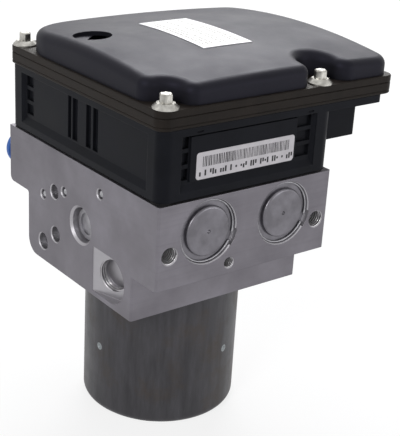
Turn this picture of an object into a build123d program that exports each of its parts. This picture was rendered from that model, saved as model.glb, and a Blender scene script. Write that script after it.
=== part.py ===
from build123d import *
from math import asin, cos, degrees, hypot, radians, sin
import os

os.makedirs("parts", exist_ok=True)

# Anti-lock brake hydraulic unit standing on the end of its pump motor.
# Frame: origin on the motor axis in the plane of the motor's closed end, +Z up,
# +X to the right along the accumulator face, +Y from that face to the port face.

# ---------------------------------------------------------------- driving sizes, mm
# fits and gaps
slip = 0.05             # radial clearance of a running or assembled fit
free_gap = 0.3          # gap between pieces that only lie near each other
hole_gap = 0.3          # radial clearance of a screw in a plain hole

# pump motor
can_r = 39.5
can_wall = 2.2
can_corner_r = 4.0
motor_length = 71.5
dish_r = 17.0           # drawn-in middle of the closed end
dish_depth = 5.0
dimple_r = 1.6          # crimps that key the magnets
dimple_depth = 0.7
dimple_z = 36.0
dimple_angles = (184.0, 289.0, 64.0)
foot_bearing_r = 9.5
foot_bearing_w = 6.0
magnet_t = 8.6
magnet_span = 66.0      # degrees of arc
magnet_count = 4
air_gap = 0.7
core_z = 15.0
slot_count = 12
slot_w = 3.4
slot_depth = 8.5
slot_mouth_w = 1.6
tooth_tip = 1.5
end_turn_h = 5.0
commutator_r = 11.0
commutator_h = 16.0
bar_gap = 0.5
bar_depth = 1.2
brush_plate_t = 2.5
brush_lift = 7.3        # brush plate above the armature core
brush_drop = 10.2       # brush plate below the end shield
brush_w = 6.0
brush_t = 5.0
brush_l = 11.0
brush_count = 4
brush_angle = 45.0
holder_wall = 1.2
shield_t = 5.0
spigot_h = 4.5
spigot_r = 14.0
head_bearing_r = 11.0
head_bearing_w = 7.0
shaft_foot_r = 3.5
shaft_core_r = 5.0
shaft_head_r = 4.0
shaft_foot_z = 3.2
bolt_circle_r = 32.0
bolt_angles = (45.0, 225.0)
bolt_r = 2.5
bolt_head_r = 4.4
bolt_head_h = 4.2
bolt_reach = 12.0       # thread in the block
bolt_bury = 5.0         # head's seat above the base plane
seal_h = 4.0
lead_r = 1.2            # motor's two contact pins
lead_gap = 2.0
lead_y = 22.0
lead_bore_r = 4.0
lead_slot_gap = 0.8

# eccentric and pump elements
eccentricity = 1.0
crank_r = 3.9
crank_h = 13.0
ring_r = 10.0
ring_h = 11.0
pump_z = 103.0
plunger_r = 3.25
plunger_l = 16.0
plug_mouth_r = 8.7
plug_mouth_depth = 10.0
plug_recess = 3.8
plug_chamfer = 1.2
plug_rim = 1.0
plug_hollow_r = 5.5
plug_hollow_depth = 0.8
sleeve_r = 7.0
sleeve_end_x = 17.0
pump_spring_r = 2.6
pump_spring_wire = 0.45
pump_spring_turns = 7

# hydraulic block
block_w = 100.0
front_y = -63.0
block_d = 132.0
block_h = 62.5
front_overhang = 18.5
front_overhang_h = 40.0
back_overhang = 19.0
back_overhang_h = 30.0
foot_corner_r = 8.0
edge_r = 1.2
ledge_corner_r = 3.0
mount_thread_r = 4.0
mount_thread_inset = 6.8
mount_thread_drop = 24.0
mount_thread_depth = 16.0
aux_thread_r = 2.5
aux_thread_x = -9.2
aux_thread_drop = 34.8
aux_thread_depth = 10.0
thread_chamfer = 0.5

# accumulators
cap_to_thread = 21.2     # accumulator axis inside the bracket thread's
accumulator_drop = 16.6
accumulator_r = 12.6
accumulator_depth = 39.0
cap_seat_r = 15.3
cap_seat_depth = 3.4
cap_flange_t = 1.2
cap_crown_r = 12.0
cap_crown_h = 2.0
cap_round = 1.2
cap_chamfer = 0.5
cap_pip_r = 0.9
ring_wire_r = 0.5
ring_gap = 4.0
notch_angles = (-6.0, -36.0)
notch_r = 1.0
piston_l = 12.0
piston_web = 3.0
piston_wall = 2.0
piston_seal_r = 1.0
accumulator_spring_r = 7.2
accumulator_spring_wire = 1.0
accumulator_spring_turns = 6

# passages: (y, drop below the top face, radius, depth from the side face)
left_drillings = (
    (35.5, 27.0, 2.4, 60.0),
    (24.7, 22.2, 3.6, 30.0),
    (15.7, 19.2, 2.4, 40.0),
    (-16.3, 9.5, 2.4, 36.0),
    (35.5, 52.6, 4.3, 16.0),
    (23.5, 44.5, 4.0, 22.0),
)
right_drillings = (
    (35.5, 27.0, 2.4, 30.0),
    (15.7, 19.2, 2.4, 34.0),
    (-16.3, 9.5, 2.4, 36.0),
)
ball_depth = 2.9
deep_ball_depth = 8.0
deep_ball_from_r = 3.0
mouth_chamfer = 0.6

# sensor recess in the left face
recess_y = -27.0
recess_drop = 48.6
recess_r = 11.5
recess_depth = 9.0
recess_lip = 0.3        # depth at the flat side
recess_slope = 17.0     # degrees, floor deepens towards the front
recess_side = 15.2      # flat side from the recess's centre
sensor_bore_r = 8.0
sensor_bore_depth = 5.5
sensor_y = -23.5

# ports
wheel_port_margin = 12.0     # outer ports inside the block's sides
inner_port_x = 13.0
wheel_port_drop = 16.5
wheel_port_r = 5.0
port_depth = 14.0
master_port_xs = (-24.0, 24.0)
master_port_z = 88.0
master_port_r = 6.0
port_feed_r = 1.6
riser_r = 2.0
riser_inset = 3.0       # riser's axis ahead of the master port's bottom
plug_head_r = 9.4
plug_head_t = 3.0
plug_neck_l = 7.0
plug_neck_r = 6.2

# solenoid valves
valve_margin = 17.0     # outer valves inside the block's sides
valve_columns = 4
inlet_y = 6.0
outlet_y = 38.0
valve_r = 6.5
valve_depth = 19.0
collar_r = 7.9
collar_h = 2.4
dome_r = 4.0
dome_h = 26.0
dome_wall = 0.7
needle_r = 1.0
armature_gap = 0.08     # radial and end clearance of the armature in its dome
valve_travel = 0.3
armature_h = 21.0
coil_gap = 1.2          # coil inside half the valves' pitch
coil_h = 24.0
coil_flange_t = 1.4
winding_inset = 0.9
terminal_r = 0.6

# control unit
housing_h = 33.3
gasket_t = 1.0
gasket_w = 3.0
gasket_inset = 1.2
housing_side = 0.5      # housing inside the block's left face
housing_right = 1.5     # housing inside the block's right face
band_front = 0.2        # band behind the block's front face
band_back = 0.4         # band inside the block's back face
band_overhang = 37.6    # band beyond the block's right face
band_side = 0.8         # band outside the block's left face
band_corner_r = 5.5
housing_inset = 0.3     # housing inside the band's front
housing_wall = 5.3
floor_t = 2.5
panel_depth = 1.8
foot_rail_h = 3.3
sill_rise = 3.2         # sloping sill up to the panel's floor
head_rail_h = 3.4
post_w = 10.5
side_post_w = 11.0
slot_cut = 1.7
slot_margin = 1.0
front_windows = ((-36.6, 4.8), (31.6, 9.0))     # centre in x, width
plate_x0 = -33.6        # raised plate under the front label
plate_x1 = 26.8
plate_t = 0.9
plate_margin = 1.0
latch_xs = (-31.3, 32.3)
latch_w = 3.2
latch_h = 0.9
latch_depth = 0.5
latch_drop = 1.7        # latch marks below the flange
side_slots = ((14.4, 2.8), (9.5, 4.4), (-2.3, 4.2), (-8.3, 4.2))     # centre in y, width
window_y = 52.0
window_w = 6.4
window_h = 5.2
window_drop = 6.9       # uppermost window's middle below the flange
window_pitch = 7.15
window_count = 3
shroud_w = 25.2
shroud_front = -53.0
shroud_back = 57.0
shroud_drop = 18.0
shroud_wall = 2.2
shroud_roof = 2.0
shroud_corner_r = 2.0
flange_inset = 7.0      # connector flange inside the band's right end
flange_t = 3.8
flange_root = 20.0      # flange's overlap with the housing's right wall
flange_corner_r = 3.0
carrier_t = 5.5
band_edge = 0.4
carrier_ring = 7.0
opening_corner_r = 2.0
board_ledge = 1.5
board_t = 1.6
ledge_w = 2.0
shelf_w = 1.5           # cover frame inside the cover's wall
cover_frame_t = 3.4
screw_r = 2.5
screw_head_r = 3.0
screw_head_h = 6.3
screw_flange_r = 5.9
screw_cone_r = 4.0
screw_cone_h = 1.8
lobe_wave = 0.28
lobe_steps = 24
screw_flange_t = 0.6
screw_top_edge = 0.5
screw_reach = 10.5
screw_left_inset = 4.7      # from the housing's sides
screw_right_inset = 6.0
screw_front_inset = 5.5     # from the band's edges
screw_back_inset = 6.3
boss_r = 6.6

# cover
cover_inset = 1.8
cover_wall = 2.2
cover_corner_r = 9.0
dome_peak = 23.6        # above the housing's top flange
crown_drop_y = 5.1
crown_radius_x = 1226.0
cover_edge_r = 4.5
cover_right_inset = 1.2
cover_back_inset = 3.0
back_left_r = 29.5      # cover's corner ahead of the back screw
scallop_r = 10.0
scallop_blend_r = 6.0
bay_r = 9.5
bay_shift = 1.0         # bay's axis to the right of its screw
bay_depth = 17.0
bay_left_blend_r = 5.0
bay_blend_share = 0.3   # of the room between bay and cover corner
well_x = -33.9
well_y = 17.7
well_r = 10.4
well_wall = 1.2
well_rim = 0.3          # rim above the crown's peak
well_depth = 4.0

# labels and board parts
label_t = 0.25
glue_t = 0.05           # adhesive under the label on the crown
front_label_w = 56.0
front_label_h = 12.4
front_label_x = -2.3
front_label_lift = 8.8
front_label_corner_r = 1.5
top_label_w = 28.7
top_label_d = 52.4
top_label_x = 12.6
top_label_y = 0.5
pin_w = 0.8
pin_rows = 3
pin_columns = 10
pin_pitch = 6.0
pin_reach = 8.0
pin_inset = 16.0        # first pin from the shroud's front
blade_count = 4
blade_w = 4.8
blade_pitch = 8.0
processor_w = 24.0
chip_w = 14.0
capacitor_r = 4.5
capacitor_h = 10.0

# ---------------------------------------------------------------- levels and places
block_bottom = motor_length
block_top = block_bottom + block_h
back_y = front_y + block_d
half_w = block_w / 2
foot_front_y = front_y + front_overhang
foot_back_y = back_y - back_overhang
mount_thread_x = half_w - mount_thread_inset
accumulator_x = mount_thread_x - cap_to_thread
accumulator_z = block_top - accumulator_drop
outer_port_x = half_w - wheel_port_margin
wheel_port_xs = (-outer_port_x, -inner_port_x, inner_port_x, outer_port_x)
wheel_port_z = block_top - wheel_port_drop
riser_y = foot_back_y - port_depth + riser_inset
recess_z = block_top - recess_drop
housing_z = block_top + gasket_t
flange_z = block_top + housing_h
cover_frame_z = flange_z + carrier_t
band_top = cover_frame_z + cover_frame_t
dome_z = flange_z + dome_peak
band_x0 = -half_w - band_side
band_x1 = half_w + band_overhang
band_y0 = front_y + band_front
band_y1 = back_y - band_back
housing_x0 = -half_w + housing_side
housing_x1 = half_w - housing_right
housing_y0 = band_y0 + housing_inset
housing_y1 = band_y1
shroud_x = housing_x1 + shroud_w
flange_x = band_x1 - flange_inset
board_z = flange_z + board_ledge
magnet_r1 = can_r - can_wall
magnet_r0 = magnet_r1 - magnet_t
core_r = magnet_r0 - air_gap
shield_z = block_bottom - shield_t
brush_plate_z = shield_z - brush_drop
brush_z = brush_plate_z + brush_plate_t
core_top = brush_plate_z - brush_lift
core_h = core_top - core_z
commutator_top = core_top + free_gap + commutator_h
spigot_top = block_bottom + spigot_h
head_bearing_z = spigot_top - head_bearing_w
crank_z = pump_z - crank_h / 2
chamber_top = pump_z + ring_h / 2 + 3.0
plunger_x = ring_r + eccentricity + slip
sleeve_x = half_w - plug_mouth_depth
spring_seat_x = sleeve_x - 2.0
wide_bore_x = 28.0
screw_left_x = housing_x0 + screw_left_inset
screw_right_x = housing_x1 - screw_right_inset
screw_front_y = band_y0 + screw_front_inset
screw_back_y = band_y1 - screw_back_inset
screw_places = [
    (screw_left_x, screw_front_y),
    (screw_right_x, screw_front_y),
    (screw_left_x, screw_back_y),
]
bay_x = screw_right_x + bay_shift
armature_floor = block_top + collar_h
outer_valve_x = half_w - valve_margin
valve_pitch = 2 * outer_valve_x / (valve_columns - 1)
coil_r = valve_pitch / 2 - coil_gap
valve_xs = [-outer_valve_x + i * valve_pitch for i in range(valve_columns)]
valve_places = [(x, inlet_y) for x in valve_xs] + [(x, outlet_y) for x in valve_xs]


# ---------------------------------------------------------------- helpers
def rod_z(r, z0, z1, x=0.0, y=0.0):
    return Pos(x, y, (z0 + z1) / 2) * Cylinder(r, abs(z1 - z0))


def rod_x(r, x0, x1, y=0.0, z=0.0):
    return Pos((x0 + x1) / 2, y, z) * Rot(0, 90, 0) * Cylinder(r, abs(x1 - x0))


def rod_y(r, y0, y1, x=0.0, z=0.0):
    return Pos(x, (y0 + y1) / 2, z) * Rot(90, 0, 0) * Cylinder(r, abs(y1 - y0))


def slab(x0, x1, y0, y1, z0, z1, r=0.0):
    face = RectangleRounded(x1 - x0, y1 - y0, r) if r else Rectangle(x1 - x0, y1 - y0)
    return extrude(Pos((x0 + x1) / 2, (y0 + y1) / 2, z0) * face, z1 - z0)


def turned(points, x=0.0, y=0.0):
    # points are (radius, z) pairs of a closed half section
    return Pos(x, y, 0) * revolve(make_face(Plane.XZ * Polyline(*points, close=True)), Axis.Z)


def on_circle(r, angle):
    return r * cos(radians(angle)), r * sin(radians(angle))


def coil_spring(mean_r, wire_r, length, turns):
    rise = length - 2 * wire_r
    path = Helix(pitch=rise / turns, height=rise, radius=mean_r)
    wire = sweep(Plane(origin=path @ 0, z_dir=path % 0) * Circle(wire_r), path, is_frenet=True)
    return Pos(0, 0, wire_r) * wire


def save(name, *solids):
    flat = []
    for item in solids:
        flat.extend(item.solids())
    for solid in flat:
        solid.label = name
    whole = flat[0] if len(flat) == 1 else Compound(children=flat)
    whole.label = name
    export_step(whole, f"parts/{name}.step")


# ---------------------------------------------------------------- pump motor
def motor_can():
    can = fillet(rod_z(can_r, 0, motor_length).edges().sort_by(Axis.Z)[0], can_corner_r)
    hollow = rod_z(magnet_r1, can_wall, motor_length)
    can -= fillet(hollow.edges().sort_by(Axis.Z)[0], can_corner_r - can_wall / 2)
    can += rod_z(dish_r + can_wall, can_wall / 2, dish_depth + can_wall)
    can -= rod_z(dish_r, 0, dish_depth)
    can += rod_z(foot_bearing_r + can_wall, 0, dish_depth + can_wall)
    can -= rod_z(foot_bearing_r, can_wall, dish_depth + can_wall)
    for angle in bolt_angles:
        x, y = on_circle(bolt_circle_r, angle)
        well_floor = bolt_bury + can_wall
        pocket = rod_z(bolt_head_r + free_gap + can_wall, can_wall / 2, well_floor, x, y)
        can += pocket & rod_z(can_r - can_wall / 2, 0, motor_length)
        can -= rod_z(bolt_head_r + free_gap, 0, bolt_bury, x, y)
        can -= rod_z(bolt_r + hole_gap, 0, well_floor, x, y)
    for angle in dimple_angles:
        x, y = on_circle(can_r + dimple_r - dimple_depth, angle)
        can -= Pos(x, y, dimple_z) * Sphere(dimple_r)
    return can


def magnets():
    ring = rod_z(magnet_r1, core_z, core_top) - rod_z(magnet_r0, core_z, core_top)
    reach = 2 * can_r
    wedge = make_face(
        Polyline(
            (0, 0),
            on_circle(reach, -magnet_span / 2),
            on_circle(reach, magnet_span / 2),
            close=True,
        )
    )
    segment = ring & extrude(Pos(0, 0, core_z) * wedge, core_h)
    return [Rot(0, 0, 360 / magnet_count * i) * segment for i in range(magnet_count)]


def armature_core():
    core = rod_z(core_r, core_z, core_top) - rod_z(shaft_core_r, core_z, core_top)
    wide = Pos(core_r - tooth_tip - slot_depth / 2, 0, 0) * Rectangle(slot_depth, slot_w)
    mouth = Pos(core_r, 0, 0) * Rectangle(3 * tooth_tip, slot_mouth_w)
    slot = extrude(Pos(0, 0, core_z) * (wide + mouth), core_h)
    for i in range(slot_count):
        core -= Rot(0, 0, 360 / slot_count * i) * slot
    return core


def armature_winding():
    low = core_z - end_turn_h
    high = core_top + end_turn_h
    outer = core_r - tooth_tip
    inner = outer - slot_depth
    ends = rod_z(outer, low, core_z) - rod_z(inner, low, core_z)
    ends += rod_z(outer, core_top, high) - rod_z(commutator_r + free_gap, core_top, high)
    winding = fillet(ends.edges().filter_by(GeomType.CIRCLE).group_by(Axis.Z)[0], 1.2)
    winding = fillet(winding.edges().filter_by(GeomType.CIRCLE).group_by(Axis.Z)[-1], 1.2)
    bar = Pos(outer - slot_depth / 2, 0, (core_z + core_top) / 2) * Box(slot_depth, slot_w, core_h)
    for i in range(slot_count):
        winding += Rot(0, 0, 360 / slot_count * i) * bar
    return winding


def commutator():
    bottom = core_top + free_gap
    barrel = rod_z(commutator_r, bottom, commutator_top)
    barrel -= rod_z(shaft_core_r, bottom, commutator_top)
    groove = Pos(commutator_r, 0, bottom + commutator_h / 2 + 3) * Box(2 * bar_depth, bar_gap, commutator_h)
    for i in range(slot_count):
        barrel -= Rot(0, 0, 360 / slot_count * (i + 0.5)) * groove
    return barrel


def motor_shaft():
    shaft = rod_z(shaft_foot_r, shaft_foot_z, core_z - end_turn_h)
    shaft += rod_z(shaft_core_r, core_z - end_turn_h, commutator_top)
    shaft += rod_z(shaft_head_r, commutator_top, crank_z)
    shaft += rod_z(crank_r, crank_z, crank_z + crank_h, 0, eccentricity)
    return shaft


def eccentric_ring():
    low = pump_z - ring_h / 2
    high = pump_z + ring_h / 2
    ring = rod_z(ring_r, low, high, 0, eccentricity)
    ring = chamfer(ring.edges().filter_by(GeomType.CIRCLE), 0.5)
    return ring - rod_z(crank_r + slip, low, high, 0, eccentricity)


def ball_bearing(r_out, r_in, z0, width):
    bearing = rod_z(r_out, z0, z0 + width) - rod_z(r_in, z0, z0 + width)
    land_out = r_out - 2.0
    land_in = r_in + 2.0
    for low, high in ((z0, z0 + 0.6), (z0 + width - 0.6, z0 + width)):
        bearing -= rod_z(land_out, low, high) - rod_z(land_in, low, high)
    return bearing


def brush_spots():
    return [Rot(0, 0, brush_angle + 360 / brush_count * i) for i in range(brush_count)]


def brush_plate():
    plate = rod_z(magnet_r1 - slip, brush_plate_z, brush_z)
    plate -= rod_z(commutator_r + 2.0, brush_plate_z, brush_z)
    for angle in bolt_angles:
        x, y = on_circle(bolt_circle_r, angle)
        plate -= rod_z(bolt_r + hole_gap, brush_plate_z, brush_z, x, y)
    inner = commutator_r + 3.0
    outer = inner + brush_l
    side = brush_w / 2 + slip
    wide = side + holder_wall
    holder = slab(inner, outer, -wide, wide, brush_z, brush_z + brush_t + holder_wall)
    holder -= slab(inner, outer - holder_wall, -side, side, brush_z, brush_z + brush_t + slip)
    for spot in brush_spots():
        plate += spot * holder
    return plate


def brushes():
    start = commutator_r + slip
    high = brush_z + brush_t
    block = slab(start, start + brush_l, -brush_w / 2, brush_w / 2, brush_z, high)
    block -= rod_z(commutator_r + slip, brush_z, high)
    return [spot * block for spot in brush_spots()]


def lead_slot(z0, z1):
    wide = lead_r + lead_slot_gap
    return slab(-lead_gap - wide, lead_gap + wide, lead_y - wide, lead_y + wide, z0, z1)


def end_shield():
    shield = rod_z(magnet_r1 - slip, shield_z, block_bottom)
    shield += rod_z(spigot_r - slip, block_bottom, spigot_top)
    shield -= rod_z(head_bearing_r, shield_z, spigot_top)
    for angle in bolt_angles:
        x, y = on_circle(bolt_circle_r, angle)
        shield -= rod_z(bolt_r + hole_gap, shield_z, block_bottom, x, y)
    return shield - lead_slot(shield_z, block_bottom)


def motor_bolts():
    bolts = []
    for angle in bolt_angles:
        x, y = on_circle(bolt_circle_r, angle)
        head = rod_z(bolt_head_r, bolt_bury - bolt_head_h, bolt_bury, x, y)
        shank = rod_z(bolt_r, bolt_bury, block_bottom + bolt_reach, x, y)
        bolts.append(head + shank)
    return bolts


def motor_leads():
    top = board_z - free_gap
    pins = [rod_z(lead_r, brush_z, top, side * lead_gap, lead_y) for side in (-1, 1)]
    return pins


def shaft_seal():
    seal = rod_z(spigot_r, spigot_top, spigot_top + seal_h)
    return seal - rod_z(shaft_head_r + slip, spigot_top, spigot_top + seal_h)


# ---------------------------------------------------------------- pump elements, drawn at +X
def mirrored_x(solid):
    return solid.mirror(Plane.YZ)


def pump_plug():
    low = sleeve_x
    high = half_w - plug_recess
    plug = rod_x(plug_mouth_r - slip, low, high, 0, pump_z)
    rim = plug.edges().filter_by(GeomType.CIRCLE).sort_by(Axis.X)[-1]
    plug = chamfer(rim, plug_rim)
    return plug - rod_x(plug_hollow_r, high - plug_hollow_depth, high, 0, pump_z)


def pump_sleeve():
    sleeve = rod_x(sleeve_r - slip, sleeve_end_x, sleeve_x, 0, pump_z)
    sleeve -= rod_x(plunger_r + slip, sleeve_end_x, wide_bore_x, 0, pump_z)
    return sleeve - rod_x(plunger_r + 1.2, wide_bore_x, spring_seat_x, 0, pump_z)


def pump_plunger():
    plunger = rod_x(plunger_r, plunger_x, plunger_x + plunger_l, 0, pump_z)
    return chamfer(plunger.edges().filter_by(GeomType.CIRCLE), 0.4)


def pump_spring():
    start = plunger_x + plunger_l + slip
    spring = coil_spring(pump_spring_r, pump_spring_wire, spring_seat_x - slip - start, pump_spring_turns)
    return Pos(start, 0, pump_z) * Rot(0, 90, 0) * spring


# ---------------------------------------------------------------- accumulators, drawn at +X and copied to -X
def on_both_accumulators(solid):
    return [solid, Pos(-2 * accumulator_x, 0, 0) * solid]


def cap_face_y():
    return front_y + cap_seat_depth


def accumulator_cap():
    seat = cap_face_y()
    flange = rod_y(cap_seat_r - slip, seat - cap_flange_t, seat, accumulator_x, accumulator_z)
    crown = rod_y(cap_crown_r, seat - cap_flange_t - cap_crown_h, seat, accumulator_x, accumulator_z)
    cap = flange + crown
    circles = cap.edges().filter_by(GeomType.CIRCLE).filter_by(lambda e: abs(e.radius - cap_crown_r) < 0.01)
    cap = fillet(circles.sort_by(Axis.Y)[0], cap_round)
    front = seat - cap_flange_t - cap_crown_h
    cap -= rod_y(cap_crown_r - cap_flange_t, front + cap_flange_t, seat, accumulator_x, accumulator_z)
    pip = Pos(accumulator_x, front, accumulator_z) * Sphere(cap_pip_r)
    return cap - pip


def retaining_ring():
    y = cap_face_y() - cap_flange_t - ring_wire_r
    r = cap_seat_r - ring_wire_r
    ring = Pos(accumulator_x, y, accumulator_z) * Rot(90, 0, 0) * Torus(r, ring_wire_r)
    middle = radians(sum(notch_angles) / 2)
    place = Pos(accumulator_x + r * cos(middle), y, accumulator_z + r * sin(middle))
    gap = place * Box(ring_gap, ring_gap, ring_gap)
    return ring - gap


def piston_seal_y():
    return front_y + accumulator_depth - free_gap - piston_web / 2 - piston_seal_r


def accumulator_piston():
    back = front_y + accumulator_depth - free_gap
    piston = rod_y(accumulator_r - slip, back - piston_l, back, accumulator_x, accumulator_z)
    rim = piston.edges().filter_by(GeomType.CIRCLE).sort_by(Axis.Y)[-1]
    piston = chamfer(rim, 0.6)
    inner_r = accumulator_r - piston_wall - 2 * piston_seal_r
    piston -= rod_y(inner_r, back - piston_l, back - piston_web, accumulator_x, accumulator_z)
    groove_y = piston_seal_y()
    y0 = groove_y - piston_seal_r
    y1 = groove_y + piston_seal_r
    groove = rod_y(accumulator_r, y0, y1, accumulator_x, accumulator_z)
    groove -= rod_y(seal_groove_r(), y0, y1, accumulator_x, accumulator_z)
    return piston - groove


def seal_groove_r():
    return accumulator_r - 2 * piston_seal_r - slip


def accumulator_seal():
    ring = Torus(seal_groove_r() + piston_seal_r, piston_seal_r - slip / 2)
    return Pos(accumulator_x, piston_seal_y(), accumulator_z) * Rot(90, 0, 0) * ring


def accumulator_spring():
    start = cap_face_y() - cap_crown_h + slip
    end = front_y + accumulator_depth - free_gap - piston_web - slip
    spring = coil_spring(
        accumulator_spring_r,
        accumulator_spring_wire,
        end - start,
        accumulator_spring_turns,
    )
    return Pos(accumulator_x, start, accumulator_z) * Rot(-90, 0, 0) * spring


# ---------------------------------------------------------------- hydraulic block
def block_body():
    profile = make_face(
        Polyline(
            (front_y, block_top),
            (back_y, block_top),
            (back_y, block_top - back_overhang_h),
            (foot_back_y, block_top - back_overhang_h),
            (foot_back_y, block_bottom),
            (foot_front_y, block_bottom),
            (foot_front_y, block_top - front_overhang_h),
            (front_y, block_top - front_overhang_h),
            close=True,
        )
    )

    def corner(y, z):
        return profile.vertices().sort_by(lambda v: hypot(v.X - y, v.Y - z))[0]

    profile = fillet(corner(foot_back_y, block_bottom), foot_corner_r)
    profile = fillet(corner(back_y, block_top - back_overhang_h), ledge_corner_r)
    profile = fillet(corner(foot_back_y, block_top - back_overhang_h), ledge_corner_r / 2)
    body = extrude(Plane.YZ * profile, half_w, both=True)
    uprights = body.edges().filter_by(Axis.Z).filter_by(lambda e: e.center().Y < foot_front_y + 1)
    return fillet(uprights, edge_r)


def mouth_cone_y(r, x, z, width):
    cone = Cone(r + width, r, width)
    return Pos(x, front_y + width / 2, z) * Rot(-90, 0, 0) * cone


def threaded_y(r, x, z, depth):
    hole = rod_y(r, front_y, front_y + depth, x, z)
    return hole + mouth_cone_y(r, x, z, thread_chamfer)


def side_drilling(side, y, drop, r, depth):
    z = block_top - drop
    hole = rod_x(r, side * (half_w - depth), side * half_w, y, z)
    mouth = Cone(r, r + mouth_chamfer, mouth_chamfer)
    return hole + Pos(side * (half_w - mouth_chamfer / 2), y, z) * Rot(0, 90 * side, 0) * mouth


def accumulator_bore():
    x, z = accumulator_x, accumulator_z
    bore = rod_y(accumulator_r, front_y, front_y + accumulator_depth, x, z)
    bore += rod_y(cap_seat_r, front_y, cap_face_y(), x, z) + mouth_cone_y(cap_seat_r, x, z, cap_chamfer)
    start, end = (radians(a) for a in notch_angles)
    reach = cap_seat_r + notch_r
    wedge = make_face(
        Polyline(
            (x, z),
            (x + 2 * reach * cos(start), z + 2 * reach * sin(start)),
            (x + 2 * reach * cos(end), z + 2 * reach * sin(end)),
            close=True,
        )
    )
    slice_y = extrude(Plane.XZ.offset(-front_y) * wedge, -(cap_seat_depth - cap_flange_t))
    return bore + (rod_y(reach, front_y, cap_face_y() - cap_flange_t, x, z) & slice_y)


def pump_bore():
    high = half_w
    bore = rod_x(sleeve_r, 0, high, 0, pump_z) + rod_x(plug_mouth_r, sleeve_x, high, 0, pump_z)
    mouth = Cone(plug_mouth_r, plug_mouth_r + plug_chamfer, plug_chamfer)
    return bore + Pos(high - plug_chamfer / 2, 0, pump_z) * Rot(0, 90, 0) * mouth


def sensor_recess():
    # D-shaped pocket with a sloping floor, and a bore square to that floor
    outline = Pos(recess_y, recess_z) * Circle(recess_r)
    outline += Pos(recess_y + recess_side / 2, recess_z) * Rectangle(recess_side, 2 * recess_r)
    pocket = extrude(Plane.YZ.offset(-half_w) * outline, recess_depth)
    flat_y = recess_y + recess_side
    floor = Pos(-half_w + recess_lip, flat_y, recess_z) * Rot(0, 0, recess_slope)
    size = 4 * recess_r
    pocket -= floor * Pos(size / 2, 0, 0) * Box(size, 2 * size, size)
    along = (sensor_y - flat_y) / cos(radians(recess_slope))
    middle = (sensor_bore_depth - recess_lip) / 2
    bore = Cylinder(sensor_bore_r, sensor_bore_depth + recess_lip)
    return pocket + floor * Pos(middle, along, 0) * Rot(0, 90, 0) * bore


def port_bore(r, x, y, z):
    bore = rod_y(r, y - port_depth, y, x, z)
    return bore + Pos(x, y - port_depth - r / 4, z) * Rot(-90, 0, 0) * Cone(port_feed_r, r, r / 2)


def valve_bore(x, y):
    low = block_top - valve_depth
    bore = rod_z(valve_r, low, block_top, x, y)
    bore += rod_z(collar_r, block_top - collar_h, block_top, x, y)
    return bore + rod_z(port_feed_r, low - 3.0, low, x, y)


def hydraulic_block():
    block = block_body()
    chamber = rod_z(spigot_r, block_bottom, chamber_top)
    cuts = [chamber, pump_bore(), mirrored_x(pump_bore())]
    cuts += on_both_accumulators(accumulator_bore())
    mount_thread_z = block_top - mount_thread_drop
    for x in (-mount_thread_x, mount_thread_x):
        cuts.append(threaded_y(mount_thread_r, x, mount_thread_z, mount_thread_depth))
    aux_thread_z = block_top - aux_thread_drop
    cuts.append(threaded_y(aux_thread_r, aux_thread_x, aux_thread_z, aux_thread_depth))
    cuts += [side_drilling(-1, *hole) for hole in left_drillings]
    cuts += [side_drilling(1, *hole) for hole in right_drillings]
    cuts.append(sensor_recess())
    feed_end = back_y - port_depth
    for x in wheel_port_xs:
        cuts.append(port_bore(wheel_port_r, x, back_y, wheel_port_z))
        cuts.append(rod_y(port_feed_r, outlet_y + 2.0, feed_end, x, wheel_port_z))
    cuts += [port_bore(master_port_r, x, foot_back_y, master_port_z) for x in master_port_xs]
    riser_top = block_top - left_drillings[0][1]
    cuts += [rod_z(riser_r, block_bottom, riser_top, x, riser_y) for x in master_port_xs]
    cuts += [valve_bore(x, y) for x, y in valve_places]
    cuts += [rod_z(screw_r, block_top - screw_reach - 1.0, block_top, x, y) for x, y in screw_places]
    for angle in bolt_angles:
        x, y = on_circle(bolt_circle_r, angle)
        cuts.append(rod_z(bolt_r, block_bottom, block_bottom + bolt_reach + 1.5, x, y))
    cuts.append(rod_z(lead_bore_r, block_bottom, block_top, 0, lead_y))
    for cut in cuts:
        block -= cut
    return block


def ball_plugs():
    balls = []
    for side, drillings in ((-1, left_drillings), (1, right_drillings)):
        for y, drop, r, depth in drillings:
            inset = deep_ball_depth if r > deep_ball_from_r else ball_depth
            balls.append(Pos(side * (half_w - inset), y, block_top - drop) * Sphere(r))
    for x in master_port_xs:
        balls.append(Pos(x, riser_y, block_bottom + ball_depth) * Sphere(riser_r))
    return balls


def transit_plug():
    x = wheel_port_xs[0]
    stem = rod_y(wheel_port_r - slip, back_y - port_depth * 0.8, back_y, x, wheel_port_z)
    neck = rod_y(plug_neck_r, back_y, back_y + plug_neck_l, x, wheel_port_z)
    head_end = back_y + plug_neck_l + plug_head_t
    head = rod_y(plug_head_r, back_y + plug_neck_l, head_end, x, wheel_port_z)
    head = fillet(head.edges().filter_by(GeomType.CIRCLE), 0.8)
    bore = rod_y(wheel_port_r - 2.0, back_y - port_depth * 0.6, head_end, x, wheel_port_z)
    return stem + neck + head - bore


# ---------------------------------------------------------------- solenoid valves
def valve_body(x, y):
    low = block_top - valve_depth
    shoulder = block_top - collar_h
    head = block_top + dome_h
    barrel = valve_r - slip
    outline = [
        (0, low),
        (barrel - 0.6, low),
        (barrel, low + 0.6),
        (barrel, shoulder),
        (collar_r - slip, shoulder),
        (collar_r - slip, block_top - free_gap),
        (dome_r, block_top - free_gap),
        (dome_r, head - 0.8),
        (dome_r - 0.8, head),
        (0, head),
    ]
    valve = turned(outline, x, y)
    room_top = armature_floor + armature_h + valve_travel + armature_gap
    valve -= rod_z(dome_r - dome_wall, armature_floor, room_top, x, y)
    return valve - rod_z(needle_r + armature_gap, low, armature_floor, x, y)


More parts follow.
